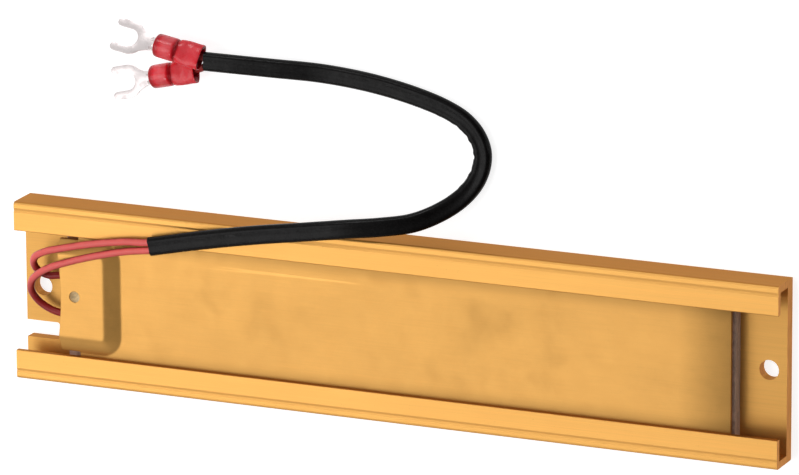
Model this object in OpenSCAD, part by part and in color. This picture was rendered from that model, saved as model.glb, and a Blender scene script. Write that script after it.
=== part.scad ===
// Flat aluminium housed power resistor with a sleeved pair of flying leads.
// Two ribbon-wound mica cards lie side by side in an extruded channel, between mica
// sheets, under a pressed cover plate that the channel's lips hold down.
// The channel lies along X with its mounting base on Z = 0. The leads leave at -X.

/* [Housing] */
// Length of the extruded channel
housing_len = 220; // [200:1:260]
// Width over the side walls
housing_w = 49.5; // [48:0.5:56]
// Height from the mounting base to the top of the lips
housing_h = 10.5; // [10:0.1:13]
// Thickness of the base
base_t = 3.5; // [3:0.1:4]
// Thickness of the side walls
wall_t = 2; // [1.5:0.1:2.2]
// Thickness of the lips
lip_t = 1.7; // [1.4:0.1:2]
// Reach of each lip, from the outer face of its wall to the lip's edge
lip_reach = 8; // [7.6:0.1:8.4]
// Radius along the top outer edges
top_edge_r = 0.9; // [0.5:0.1:1.2]
// Radius along the bottom outer edges
bottom_edge_r = 0.4; // [0.2:0.1:0.6]
// Radius along the edges of the lips
lip_edge_r = 0.3; // [0.2:0.1:0.5]
// Distance of the scribed line on each lip from the outer face
score_inset = 2.3; // [1.6:0.1:3]
// Width of the scribed line
score_w = 1.2; // [0.8:0.1:1.4]
// Depth of the scribed line
score_depth = 0.2; // [0.15:0.05:0.4]

/* [Fixing] */
// Distance of the mounting holes from the channel's ends
hole_inset = 5; // [4.5:0.1:7]
// Diameter of the mounting holes
hole_d = 5.4; // [4.5:0.1:6]
// Length of the open slot in the base, from the lead end
slot_len = 9.8; // [6:0.1:10]
// Width of the open slot
slot_w = 4.8; // [4.2:0.1:5.2]
// Distance of the slot's middle from the centre line
slot_offset = 12.3; // [11:0.1:13]
// Radius in the slot's inner corners
slot_r = 0.8; // [0.5:0.1:1.5]

/* [Cover plate] */
// Distance from each end of the channel to the mica packing and the boss's mouth
end_recess = 13; // [12:0.5:15]
// How far the plate stops short of the packing, away from the leads
plate_short = 0.6; // [0.3:0.1:1]
// Thickness of the pressed sheet
cover_t = 1; // [0.8:0.1:1.1]
// Distance of the pressed boss's foot from the plate's lead end
boss_len = 18; // [17:0.1:22]
// Width of the boss's flat top
boss_flat_w = 22; // [20:0.1:24]
// Horizontal run of the boss's sloping sides
boss_run = 5.1; // [4.5:0.1:5.4]
// Radius of the shoulder between the flat top and the sloping sides
boss_shoulder_r = 2.4; // [1.5:0.1:4]
// Radius in plan at the corners of the flat top
boss_corner_r = 0.6; // [0.4:0.1:1.5]
// Radius where the slope meets the plate
boss_foot_r = 0.6; // [0.4:0.1:1]
// Diameter of the filling hole in the boss
fill_hole_d = 3.1; // [2:0.1:4]
// Distance of the filling hole from the plate's lead end
fill_hole_x = 4.8; // [3.5:0.1:6]
// Length of the relief cut beside the boss
relief_len = 5.5; // [3:0.1:8]
// How far the relief cut runs into the boss's sloping side
relief_bite = 0.5; // [0.2:0.1:0.8]

/* [Resistance element] */
// Share of the packing that is the mica sheet on the base
base_sheet_share = 0.28; // [0.24:0.01:0.3]
// Share of the packing that is the mica sheet under the cards
under_sheet_share = 0.2; // [0.16:0.01:0.22]
// Share of the packing that is the mica sheet over the cards
over_sheet_share = 0.24; // [0.23:0.01:0.28]
// How far the top sheet stops short of the plate, away from the leads
top_sheet_short = 0.8; // [0.5:0.1:1.2]
// Thickness of the mica cards
card_t = 1; // [0.8:0.1:1.1]
// Width of each card
card_w = 14; // [12:0.1:14.4]
// Distance between the middles of the two cards
card_pitch = 15.6; // [15.2:0.1:16]
// Gap between each card's end and the spacer frame
card_end_gap = 0.5; // [0.3:0.1:1]
// Thickness of the resistance ribbon
ribbon_t = 0.2; // [0.1:0.05:0.2]
// Width of the ribbon
ribbon_w = 4; // [3:0.1:4.4]
// Pitch of the ribbon's turns
ribbon_pitch = 6; // [5.5:0.1:8]
// Length at each end of a card that carries no turns
card_bare_end = 10; // [9:0.5:14]
// Width of the spacer frame's end bars
frame_bar = 4; // [3:0.5:6]
// Distance of the eyelets from the ends of the cards
eyelet_inset = 3.5; // [3:0.1:4.5]
// Diameter of the eyelets' shanks
eyelet_d = 1.6; // [1.2:0.1:1.8]
// Thickness of the terminal tabs and of the bridge
tab_t = 0.4; // [0.3:0.05:0.4]
// Width of the tabs on the cards, and of the bridge
tab_w = 4; // [3.6:0.1:5]

/* [Splices] */
// Length of the crimped splice ferrules
ferrule_len = 6; // [5:0.1:6.5]
// Outer diameter of the ferrules
ferrule_d = 3; // [2.6:0.1:3.1]
// Bore of the ferrules
ferrule_bore = 1.7; // [1.5:0.1:1.9]
// Distance of the ferrules from the plate's lead end
ferrule_inset = 4.5; // [4.2:0.1:5]
// Wall of the glass sleeving over the ferrules
glass_t = 0.4; // [0.3:0.05:0.5]
// Distance of the cement's face from the plate's lead end
cement_inset = 1.4; // [1:0.1:2]
// Width of the cement filling
cement_w = 31; // [28:0.5:32]

/* [Leads and sleeve] */
// Outer diameter of the silicone leads
lead_d = 2; // [1.8:0.1:2]
// Diameter of the bare strands
strand_d = 1.2; // [0.9:0.1:1.3]
// Distance between the two leads in the sleeve
lead_gap = 2.1; // [2.05:0.05:2.2]
// Width of the sleeve where it lies flat
sleeve_w = 5.2; // [5.1:0.1:5.4]
// Height of the sleeve where it lies flat
sleeve_h = 3.1; // [3:0.1:3.1]
// Wall of the sleeve
sleeve_t = 0.4; // [0.3:0.05:0.4]

/* [Fork terminals] */
// Length of the insulating sleeve
insul_len = 13.2; // [12:0.1:14]
// Length of its crimped stretch
crimp_len = 7.2; // [6.5:0.1:8]
// Width of the crimped stretch
crimp_w = 7; // [6.2:0.1:7.4]
// Height of the crimped stretch
crimp_h = 3.7; // [3.6:0.1:4]
// Diameter of the round stretch
insul_d = 6.4; // [5.6:0.1:6.5]
// Outer diameter of the metal barrel
barrel_d = 3.6; // [3.2:0.1:3.8]
// Length of the metal barrel
barrel_len = 8; // [7:0.1:8.5]
// Thickness of the fork
fork_t = 0.8; // [0.7:0.05:1]
// Width over the fork's tines
fork_w = 9; // [8:0.1:9.4]
// Width of the fork's slot
fork_slot_w = 4.7; // [4.2:0.1:5.3]
// Length of the fork beyond the insulating sleeve
fork_len = 13.4; // [12:0.1:14]
// Depth of the fork's slot
fork_slot_len = 7; // [6:0.1:7.5]

/* [Hidden] */

// Small values
touch = 0.05;          // clearance of a piece in its seat
side_gap = 0.25;       // clearance of plate and mica from the channel's walls
cut = 1;               // how far a cutter runs past the face that it cuts
round_fn = 48;
fine_fn = 32;

// Levels of the stack, from the base upwards. Mica packs what the wound cards leave
// of the room under the cover plate.
z_base = base_t;
z_lip = housing_h - lip_t;
z_cover = z_lip - cover_t;
wound_t = card_t + 2 * ribbon_t;
packing_t = z_cover - z_base - wound_t;
base_sheet_t = packing_t * base_sheet_share;
under_sheet_t = packing_t * under_sheet_share;
over_sheet_t = packing_t * over_sheet_share;
z_base_sheet = z_base + base_sheet_t;
z_card_zone = z_base_sheet + under_sheet_t;
z_card = z_card_zone + ribbon_t;
z_card_top = z_card + card_t;
z_ribbon_top = z_card_top + ribbon_t;
z_over = z_ribbon_top + over_sheet_t;
z_tab = z_ribbon_top;

// Places along the channel
end_x = housing_len / 2;
hole_x = end_x - hole_inset;
cover_x = end_x - end_recess;
plate_x1 = cover_x - plate_short;
boss_foot_x = -cover_x + boss_len;
stack_x = boss_foot_x - 1;
window_x0 = stack_x + 1;
window_x1 = cover_x - frame_bar;
card_x0 = window_x0 + card_end_gap;
card_x1 = window_x1 - card_end_gap;
eyelet_x0 = card_x0 + eyelet_inset;
eyelet_x1 = card_x1 - eyelet_inset;
ferrule_x = -cover_x + ferrule_inset;
cement_x = -cover_x + cement_inset;

// Widths across the channel
cavity_w = housing_w - 2 * wall_t;
sheet_w = cavity_w - 2 * side_gap;
mouth_w = housing_w - 2 * lip_reach;
window_w = card_pitch + card_w + 2 * ribbon_t + 4 * touch;

// The pressed boss stands level with the lips
boss_h = lip_t;
boss_round = boss_shoulder_r + boss_foot_r;
boss_slope = asin(boss_round / norm([boss_run, boss_round - boss_h]))
    - atan2(boss_round - boss_h, boss_run);
boss_corner_x = boss_foot_x - boss_run - boss_corner_r;
boss_corner_y = boss_flat_w / 2 - boss_corner_r;

// Where the leads cross from the ferrules to the open air
splice_y = [4.6, -6.2];
splice_z = z_tab + tab_t / 2;
lead_start_x = ferrule_x - 1;

// Middles of the cards
card_y = [card_pitch / 2, -card_pitch / 2];

// The routes are laid over a channel of this length, width and height. On another one
// they keep their place at its lead end, over its lip and on the floor beside it.
ROUTED_OVER = [220, 49.5, 10.5];
in_mouth_z = 6.5;    // level of the leads in the boss's mouth
on_lip_z = 11.6;     // level of the leads on the lip
off_lip_y = 27;      // where the sleeve leaves the lip
on_floor_y = 42;     // where the sleeve reaches the floor

// Route of the black sleeve: along the lip, over its edge, down and back along the floor,
// then up to the stacked terminals
SLEEVE_ROUTE = [
    [-68.5, 17.1, 12.1], [-53, 20.5, 12.1], [-38, 23.4, 12.1], [-24, 25.7, 12.1],
    [-11, 27.7, 11.4], [-2, 28.8, 9.8], [6, 30.2, 7.6], [12.5, 33, 5.1],
    [17.8, 36.8, 3.1], [21.4, 41.2, 2], [23.2, 45.6, 1.6], [23.5, 50, 1.6],
    [21.8, 54.2, 1.6], [18.4, 57.7, 1.6], [13.4, 60.3, 1.6], [5, 62.9, 1.6],
    [-8, 65.4, 1.6], [-22, 66.8, 2.1], [-36, 67.4, 4.1], [-46, 67.7, 5.2],
    [-53.7, 67.8, 5.5]];

// Routes of the bare stretch of each lead, from the boss to the sleeve's mouth
LEAD_ROUTE_A = [
    [-98, 4.5, 6.5], [-102, 4.1, 6.5], [-104.4, 5.3, 7.2], [-105.2, 7.5, 8.5],
    [-104.1, 9.9, 9.9], [-100.3, 12.1, 11.1], [-95.7, 13.5, 11.6], [-86, 15.8, 11.6],
    [-76, 17.5, 11.8]];
LEAD_ROUTE_B = [
    [-98.3, -6.1, 6.5], [-101.8, -5.2, 6.5], [-104.9, -3.2, 6.8], [-106.4, -0.3, 7.8],
    [-105.6, 2.8, 9.2], [-103, 5.4, 10.5], [-99.2, 7.7, 11.4], [-95, 9.4, 11.6],
    [-86, 12.3, 11.6], [-76, 14.8, 11.8]];

// Routes of each lead from the sleeve to its terminal
TAIL_A = [[-56.4, 65.5, 4.35]];
TAIL_B = [];

// Wire end of each terminal, and its turn, tilt and roll in degrees
TERMINAL_A = [[-58.2, 64.7, 3.8], 194, 2, 14];
TERMINAL_B = [[-55.4, 68.9, 6.35], 170, 1, 28];

// ---------------------------------------------------------------- fitting the routes

function share(v, low, high) = min(1, max(0, (v - low) / (high - low)));

// How far the lead end, a side and the lips have moved from the channel of the routes
end_shift = (ROUTED_OVER[0] - housing_len) / 2;
side_shift = (housing_w - ROUTED_OVER[1]) / 2;
lip_shift = housing_h - ROUTED_OVER[2];

// A stretch that starts level with the splices and climbs onto the lip
function from_mouth(p) = let (s = share(p[2], in_mouth_z, on_lip_z))
    p + [end_shift, s * side_shift, s * lip_shift + (1 - s) * (splice_z - in_mouth_z)];

// A stretch that lies on the lip and drops to the floor beside the channel
function from_lip(p) = p + [end_shift, side_shift, (1 - share(p[1], off_lip_y, on_floor_y)) * lip_shift];

sleeve_path = [for (p = SLEEVE_ROUTE) from_lip(p)];
lead_paths = [for (route = [LEAD_ROUTE_A, LEAD_ROUTE_B]) [for (p = route) from_mouth(p)]];
tails = [for (route = [TAIL_A, TAIL_B]) [for (p = route) from_lip(p)]];
poses = [for (t = [TERMINAL_A, TERMINAL_B]) [from_lip(t[0]), t[1], t[2], t[3]]];

// ---------------------------------------------------------------- sweeping

function unit(v) = v / norm(v);

// Direction of travel at point i of a route
function heading(p, i) =
    unit(p[min(i + 1, len(p) - 1)] - p[max(i - 1, 0)]);

// Level direction to the left of the travel
function left_of(p, i) = unit(cross([0, 0, 1], heading(p, i)));

// A section of [left, up] points set square to the route at point i
function ring_at(p, i, section) =
    let (side = left_of(p, i), up = cross(heading(p, i), side))
    [for (s = section) p[i] + s[0] * side + s[1] * up];

// A route moved sideways by d
function beside(p, d) = [for (i = [0:len(p) - 1]) p[i] + d * left_of(p, i)];

function circle_section(r, sides) = [for (k = [0:sides - 1]) let (a = 360 * (k + 0.5) / sides)
    [r * cos(a), r * sin(a)]];

// Two half circles with flats between, as 12 points
function oval_section(w, h) =
    let (r = h / 2, shift = (w - h) / 2)
    [for (side = [1, -1], k = [0:5]) let (a = -90 + 36 * k) side * [shift + r * cos(a), r * sin(a)]];

// Faces between ring i and the next one, for rings of n points
function skin(rings, n, first, inward) = [for (i = [0:rings - 2], k = [0:n - 1])
    let (a = first + i * n + k, b = first + i * n + (k + 1) % n)
    inward ? [a, a + n, b + n, b] : [a, b, b + n, a + n]];

module solid_tube(path, section) {
    n = len(section);
    rings = len(path);
    polyhedron(
        points = [for (i = [0:rings - 1]) each ring_at(path, i, section)],
        faces = concat(
            skin(rings, n, 0, true),
            [[for (k = [0:n - 1]) k]],
            [[for (k = [n - 1:-1:0]) (rings - 1) * n + k]]),
        convexity = 8);
}

module hollow_tube(path, outer, inner) {
    n = len(outer);
    rings = len(path);
    last = (rings - 1) * n;
    bore = rings * n;
    polyhedron(
        points = concat(
            [for (i = [0:rings - 1]) each ring_at(path, i, outer)],
            [for (i = [0:rings - 1]) each ring_at(path, i, inner)]),
        faces = concat(
            skin(rings, n, 0, true),
            skin(rings, n, bore, false),
            [for (k = [0:n - 1]) let (m = (k + 1) % n) [k, m, bore + m, bore + k]],
            [for (k = [0:n - 1]) let (m = (k + 1) % n)
                [last + m, last + k, bore + last + k, bore + last + m]]),
        convexity = 8);
}

// ---------------------------------------------------------------- shared forms

// A plate on level z, between two values of x, w wide about the centre line
module plate(x0, x1, w, z, t) {
    translate([x0, -w / 2, z]) cube([x1 - x0, w, t]);
}

// A cylinder along X
module rod(x0, x1, y, z, d) {
    translate([x0, y, z]) rotate([0, 90, 0]) cylinder(d = d, h = x1 - x0, $fn = fine_fn);
}

module upright_hole(x, y, z, t, d) {
    translate([x, y, z - cut]) cylinder(d = d, h = t + 2 * cut, $fn = round_fn);
}

// What a radius takes off a corner at the origin, with the solid towards -X and -Y
module corner_waste(r) {
    translate([-r, -r]) difference() {
        square(r + touch);
        circle(r, $fn = fine_fn);
    }
}

// ---------------------------------------------------------------- housing

// Half of the extruded section, with the lip towards +Y
module half_section() {
    difference() {
        square([housing_w / 2, housing_h]);
        translate([-touch, base_t]) square([cavity_w / 2 + touch, z_lip - base_t]);
        translate([-touch, base_t]) square([mouth_w / 2 + touch, housing_h]);
        translate([housing_w / 2, housing_h]) corner_waste(top_edge_r);
        translate([housing_w / 2, 0]) mirror([0, 1]) corner_waste(bottom_edge_r);
        translate([mouth_w / 2, housing_h]) mirror([1, 0]) corner_waste(lip_edge_r);
        translate([mouth_w / 2, z_lip]) mirror([1, 1]) corner_waste(lip_edge_r);
        translate([housing_w / 2 - score_inset, housing_h])
            polygon([[-score_w / 2, touch], [-score_w / 2, 0], [0, -score_depth],
                [score_w / 2, 0], [score_w / 2, touch]]);
    }
}

module channel_section() {
    for (side = [0, 1]) mirror([side, 0]) half_section();
}

// Slot that is open at the lead end of the base
module lead_end_slot() {
    translate([-end_x - cut, -slot_offset - slot_w / 2, -cut]) linear_extrude(base_t + 2 * cut) {
        square([slot_len + cut - slot_r, slot_w]);
        translate([0, slot_r]) square([slot_len + cut, slot_w - 2 * slot_r]);
        for (y = [slot_r, slot_w - slot_r])
            translate([slot_len + cut - slot_r, y]) circle(slot_r, $fn = fine_fn);
    }
}

module housing() {
    color("goldenrod") difference() {
        translate([-end_x, 0, 0]) rotate([90, 0, 90]) linear_extrude(housing_len) channel_section();
        for (side = [-1, 1]) upright_hole(side * hole_x, 0, 0, base_t, hole_d);
        lead_end_slot();
    }
}

// ---------------------------------------------------------------- cover plate

// Height of the pressed form at distance d from the edge of its flat top, as points:
// a round shoulder, a straight slope and a small round foot
function boss_curve() =
    let (R = boss_shoulder_r, r = boss_foot_r, a = boss_slope)
    concat(
        [for (k = [0:6]) let (b = a * k / 6) [R * sin(b), boss_h - R * (1 - cos(b))]],
        [for (k = [3:-1:1]) let (b = a * k / 3) [boss_run - r * sin(b), r * (1 - cos(b))]],
        [[boss_run, 0]]);

// Half section of the form, from its flat top's corner outwards
module boss_profile() {
    polygon(concat([[0, 0], [0, boss_h]], [for (p = boss_curve()) p + [boss_corner_r, 0]]));
}

// The solid under the pressed form, whose foot lies on level z. The lead end is open.
module boss_form(z, x_open) {
    long_side = boss_corner_x - x_open;
    translate([0, 0, z]) {
        for (side = [0, 1]) mirror([0, side, 0]) {
            translate([x_open, boss_corner_y, 0]) rotate([90, 0, 90])
                linear_extrude(long_side) boss_profile();
            translate([boss_corner_x, boss_corner_y, 0])
                rotate_extrude(angle = 90, $fn = round_fn) boss_profile();
        }
        translate([boss_corner_x, boss_corner_y, 0]) rotate([90, 0, 0])
            linear_extrude(2 * boss_corner_y) boss_profile();
        translate([x_open, -boss_corner_y, 0]) cube([long_side, 2 * boss_corner_y, boss_h]);
    }
}

module cover_plate() {
    boss_foot_w = boss_flat_w + 2 * boss_run;
    color("goldenrod") difference() {
        union() {
            plate(-cover_x, plate_x1, sheet_w, z_cover, cover_t);
            boss_form(z_lip, -cover_x);
        }
        boss_form(z_cover, -cover_x - cut);
        translate([-cover_x - cut, -boss_foot_w / 2, z_cover - cut])
            cube([cut, boss_foot_w, housing_h]);
        for (side = [0, 1]) mirror([0, side, 0])
            translate([-cover_x - cut, boss_foot_w / 2 - relief_bite, z_cover - cut])
                cube([relief_len + cut, sheet_w, cover_t + 2 * cut]);
        upright_hole(-cover_x + fill_hole_x, 0, z_lip, boss_h, fill_hole_d);
    }
}

// ---------------------------------------------------------------- mica

module mica_base_sheet() {
    color("rosybrown") plate(-cover_x, cover_x, sheet_w, z_base, base_sheet_t);
}

module mica_under_sheet() {
    color("rosybrown") plate(stack_x, cover_x, sheet_w, z_base_sheet, under_sheet_t);
}

module mica_spacer_frame() {
    thick = z_ribbon_top - z_card_zone;
    color("tan") difference() {
        plate(stack_x, cover_x, sheet_w, z_card_zone, thick);
        plate(window_x0, window_x1, window_w, z_card_zone - cut, thick + 2 * cut);
        plate(stack_x - cut, window_x0 + cut, window_w, z_card_zone - cut, thick + 2 * cut);
    }
}

module mica_over_sheet() {
    clear_w = card_pitch + 2 * tab_w;
    color("rosybrown") difference() {
        plate(stack_x, cover_x, sheet_w, z_ribbon_top, over_sheet_t);
        plate(stack_x - cut, eyelet_x0 + tab_w, clear_w, z_ribbon_top - cut, over_sheet_t + 2 * cut);
        plate(eyelet_x1 - tab_w, eyelet_x1 + tab_w, clear_w, z_ribbon_top - cut,
            over_sheet_t + 2 * cut);
    }
}

module mica_top_sheet() {
    color("rosybrown") plate(stack_x, plate_x1 - top_sheet_short, sheet_w, z_over, z_cover - z_over);
}

// ---------------------------------------------------------------- element

module card(y) {
    color("tan") difference() {
        translate([0, y, 0]) plate(card_x0, card_x1, card_w, z_card, card_t);
        for (x = [eyelet_x0, eyelet_x1]) upright_hole(x, y, z_card, card_t, eyelet_d + 2 * touch);
    }
}

// One turn: over the card, down its far edge, back under it on the slant and up again
module ribbon_turn(x, last) {
    half = card_w / 2;
    translate([x, -half - ribbon_t, z_card_top]) cube([ribbon_w, card_w + 2 * ribbon_t, ribbon_t]);
    translate([x, half, z_card_zone]) cube([ribbon_w, ribbon_t, z_ribbon_top - z_card_zone]);
    if (!last) {
        translate([x + ribbon_pitch, -half - ribbon_t, z_card_zone])
            cube([ribbon_w, ribbon_t, z_ribbon_top - z_card_zone]);
        translate([0, 0, z_card_zone]) linear_extrude(ribbon_t)
            polygon([[x, half + ribbon_t], [x, half], [x + ribbon_pitch, -half],
                [x + ribbon_pitch, -half - ribbon_t], [x + ribbon_pitch + ribbon_w, -half - ribbon_t],
                [x + ribbon_pitch + ribbon_w, -half], [x + ribbon_w, half],
                [x + ribbon_w, half + ribbon_t]]);
    }
}

module ribbon(y) {
    x0 = card_x0 + card_bare_end;
    turns = floor((card_x1 - card_bare_end - ribbon_w - x0) / ribbon_pitch) + 1;
    x1 = x0 + (turns - 1) * ribbon_pitch;
    color("silver") difference() {
        translate([0, y, 0]) {
            for (i = [0:turns - 1]) ribbon_turn(x0 + i * ribbon_pitch, i == turns - 1);
            plate(card_x0, x0 + touch, tab_w, z_card_top, ribbon_t);
            plate(x1 + ribbon_w - touch, card_x1, tab_w, z_card_top, ribbon_t);
        }
        for (x = [eyelet_x0, eyelet_x1])
            upright_hole(x, y, z_card_top, ribbon_t, eyelet_d + 2 * touch);
    }
}

module ribbon_bridge() {
    color("silver") difference() {
        plate(eyelet_x1 - tab_w / 2, eyelet_x1 + tab_w / 2, card_pitch + tab_w, z_tab, tab_t);
        for (y = card_y) upright_hole(eyelet_x1, y, z_tab, tab_t, eyelet_d + 2 * touch);
    }
}

module card_eyelets() {
    head_t = z_over - z_tab - tab_t;
    color("silver") for (x = [eyelet_x0, eyelet_x1], y = card_y) translate([x, y, 0]) {
        translate([0, 0, z_card_zone]) cylinder(d = eyelet_d, h = z_over - z_card_zone, $fn = fine_fn);
        translate([0, 0, z_card_zone]) cylinder(d = 2 * eyelet_d, h = ribbon_t, $fn = fine_fn);
        translate([0, 0, z_over - head_t]) cylinder(d = 2 * eyelet_d, h = head_t, $fn = fine_fn);
    }
}

// Tab from the card's eyelet to its ferrule, stepped sideways between the two
module tab(i) {
    tongue_w = ferrule_bore * 0.7;
    step_x = stack_x - 1;
    tongue_x = ferrule_x + ferrule_len * 0.6;
    low = min(card_y[i], splice_y[i]);
    high = max(card_y[i], splice_y[i]);
    color("silver") difference() {
        union() {
            translate([0, card_y[i], 0]) plate(step_x, eyelet_x0 + tab_w / 2, tab_w, z_tab, tab_t);
            translate([0, splice_y[i], 0]) plate(tongue_x, step_x + touch, tongue_w, z_tab, tab_t);
            translate([step_x - tab_w / 2, low - tongue_w / 2, z_tab])
                cube([tab_w / 2 + touch, high - low + tongue_w, tab_t]);
        }
        upright_hole(eyelet_x0, card_y[i], z_tab, tab_t, eyelet_d + 2 * touch);
    }
}

// ---------------------------------------------------------------- splices

module splice_ferrule(i) {
    color("silver") difference() {
        rod(ferrule_x, ferrule_x + ferrule_len, splice_y[i], splice_z, ferrule_d);
        rod(ferrule_x - cut, ferrule_x + ferrule_len + cut, splice_y[i], splice_z, ferrule_bore);
    }
}

module glass_sleeve(i) {
    bore = ferrule_d + 2 * touch;
    color("white") difference() {
        rod(ferrule_x - touch, ferrule_x + ferrule_len + 1, splice_y[i], splice_z, bore + 2 * glass_t);
        rod(ferrule_x - cut, ferrule_x + ferrule_len + 1 + cut, splice_y[i], splice_z, bore);
    }
}

// Cement that fills the boss round the splices
module cement_fill() {
    sleeve_d = ferrule_d + 4 * touch + 2 * glass_t;
    color("ivory") difference() {
        intersection() {
            union() {
                plate(cement_x, stack_x - touch, cement_w, z_base_sheet + touch,
                    z_cover - z_base_sheet - 2 * touch);
                boss_form(z_cover - 2 * touch, cement_x);
            }
            plate(cement_x, stack_x - touch, cement_w, z_base_sheet, housing_h);
        }
        for (i = [0, 1]) {
            rod(cement_x - cut, ferrule_x, splice_y[i], splice_z, lead_d + 4 * touch);
            rod(ferrule_x - 4 * touch, ferrule_x + ferrule_len + 1 + touch, splice_y[i], splice_z,
                sleeve_d);
            tab_room(i);
        }
    }
}

// Room for a tab in the cement
module tab_room(i) {
    step_x = stack_x - 1;
    low = min(card_y[i], splice_y[i]) - tab_w / 2 - touch;
    high = max(card_y[i], splice_y[i]) + tab_w / 2 + touch;
    translate([ferrule_x + ferrule_len, splice_y[i] - ferrule_bore / 2, z_tab - touch])
        cube([step_x - ferrule_x - ferrule_len, ferrule_bore, tab_t + 2 * touch]);
    translate([step_x - tab_w / 2 - touch, low, z_tab - touch])
        cube([tab_w, high - low, tab_t + 2 * touch]);
}

// ---------------------------------------------------------------- leads

// A point at distance x along a terminal's axis from its wire end
function on_axis(pose, x) = pose[0]
    + x * [cos(pose[1]) * cos(pose[2]), sin(pose[1]) * cos(pose[2]), -sin(pose[2])];

module at_terminal(pose) {
    translate(pose[0]) rotate([pose[3], pose[2], pose[1]]) children();
}

strip_x = insul_len - barrel_len;   // where a lead's insulation ends in its terminal
entry_x = 1.4;                      // where a lead comes onto its terminal's axis
insul_bore = lead_d + 0.9;

module lead(i) {
    pose = poses[i];
    path = concat(
        [[lead_start_x, splice_y[i], splice_z]],
        lead_paths[i],
        beside(sleeve_path, lead_gap / 2 * (1 - 2 * i)),
        tails[i],
        [on_axis(pose, entry_x), on_axis(pose, strip_x)]);
    color("salmon") {
        solid_tube(path, circle_section(lead_d / 2, 8));
        rod(lead_start_x - touch, ferrule_x + ferrule_len * 0.55, splice_y[i], splice_z, strand_d);
        at_terminal(pose) rod(strip_x - touch, insul_len - 1, 0, 0, strand_d);
    }
}

module lead_sleeve() {
    color("#181818") hollow_tube(sleeve_path, oval_section(sleeve_w, sleeve_h),
        oval_section(sleeve_w - 2 * sleeve_t, sleeve_h - 2 * sleeve_t));
}

// ---------------------------------------------------------------- fork terminals

// Outline of the fork from above, with its tines towards +X
module fork_outline() {
    tip_x = insul_len + fork_len;
    hub_x = tip_x - fork_slot_len + fork_slot_w / 2;
    tine_w = (fork_w - fork_slot_w) / 2;
    difference() {
        union() {
            translate([hub_x, 0]) circle(d = fork_w, $fn = round_fn);
            translate([hub_x, -fork_w / 2]) square([tip_x - hub_x - tine_w / 2, fork_w]);
            for (side = [-1, 1])
                translate([tip_x - tine_w / 2, side * (fork_w - tine_w) / 2])
                    circle(d = tine_w, $fn = fine_fn);
            polygon([[insul_len + 0.2, -barrel_d * 0.4], [hub_x, -fork_w / 2 * 0.9],
                [hub_x, fork_w / 2 * 0.9], [insul_len + 0.2, barrel_d * 0.4]]);
        }
        translate([hub_x, 0]) circle(d = fork_slot_w, $fn = round_fn);
        translate([hub_x, -fork_slot_w / 2]) square([fork_len, fork_slot_w]);
    }
}

module fork_terminal(pose) {
    color("gainsboro") at_terminal(pose) difference() {
        union() {
            rod(strip_x, insul_len + 0.8, 0, 0, barrel_d);
            translate([0, 0, -barrel_d / 2]) linear_extrude(fork_t) fork_outline();
        }
        rod(strip_x - cut, insul_len + 0.8 + cut, 0, 0, strand_d + 2 * touch);
    }
}

module fork_insulator(pose) {
    shift = (crimp_w - crimp_h) / 2;
    color("crimson") at_terminal(pose) difference() {
        union() {
            for (side = [-1, 1]) rod(0, crimp_len, side * shift, 0, crimp_h);
            translate([0, -shift, -crimp_h / 2]) cube([crimp_len, 2 * shift, crimp_h]);
            rod(crimp_len - touch, insul_len, 0, 0, insul_d);
        }
        rod(-cut, strip_x + touch, 0, 0, insul_bore);
        rod(strip_x - touch, insul_len + cut, 0, 0, barrel_d + 2 * touch);
    }
}

// ---------------------------------------------------------------- the assembly

housing();
cover_plate();
mica_base_sheet();
mica_under_sheet();
mica_spacer_frame();
mica_over_sheet();
mica_top_sheet();
card(card_y[0]);  // card_a
card(card_y[1]);  // card_b
ribbon(card_y[0]);  // ribbon_a
ribbon(card_y[1]);  // ribbon_b
ribbon_bridge();
card_eyelets();
tab(0);  // tab_a
tab(1);  // tab_b
splice_ferrule(0);  // splice_ferrule_a
splice_ferrule(1);  // splice_ferrule_b
glass_sleeve(0);  // glass_sleeve_a
glass_sleeve(1);  // glass_sleeve_b
cement_fill();
lead(0);  // lead_a
lead(1);  // lead_b
lead_sleeve();
fork_terminal(poses[0]);  // fork_terminal_a
fork_terminal(poses[1]);  // fork_terminal_b
fork_insulator(poses[0]);  // fork_insulator_a
fork_insulator(poses[1]);  // fork_insulator_b
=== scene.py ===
"""Looks of a flat power resistor in a gold anodised channel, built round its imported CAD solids.

The channel lies along X on its mounting base. Everything is in metres, in the frame of the solids.
"""

import logging
import math
from collections.abc import Callable, Iterable, Sequence
from dataclasses import dataclass, field
from enum import Enum

import bmesh
import bpy
from mathutils import Matrix, Vector


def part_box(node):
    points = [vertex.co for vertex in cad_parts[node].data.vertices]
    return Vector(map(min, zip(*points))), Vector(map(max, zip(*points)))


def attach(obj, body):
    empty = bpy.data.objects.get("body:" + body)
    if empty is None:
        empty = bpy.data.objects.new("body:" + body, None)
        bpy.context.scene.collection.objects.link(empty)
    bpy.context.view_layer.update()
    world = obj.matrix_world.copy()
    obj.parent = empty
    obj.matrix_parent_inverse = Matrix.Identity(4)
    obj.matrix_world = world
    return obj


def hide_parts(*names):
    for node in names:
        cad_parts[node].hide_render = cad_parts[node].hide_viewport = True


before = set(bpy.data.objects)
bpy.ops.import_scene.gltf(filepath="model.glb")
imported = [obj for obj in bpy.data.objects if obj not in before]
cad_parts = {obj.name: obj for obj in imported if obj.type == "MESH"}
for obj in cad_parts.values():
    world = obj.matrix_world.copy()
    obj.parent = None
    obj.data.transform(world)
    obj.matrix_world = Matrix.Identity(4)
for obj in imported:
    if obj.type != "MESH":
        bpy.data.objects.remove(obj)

LOG = logging.getLogger("resistor")
MM = 0.001
BODY = "root"
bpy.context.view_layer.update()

Piece = bpy.types.Object
Socket = bpy.types.NodeSocket
Material = bpy.types.Material
Faces = list[tuple[int, ...]]
Colour = tuple[float, float, float]
Point = tuple[float, float, float]
Link = object  # a Value, a node socket, or a plain number, colour or vector
WHITE = (1.0, 1.0, 1.0)
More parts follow.
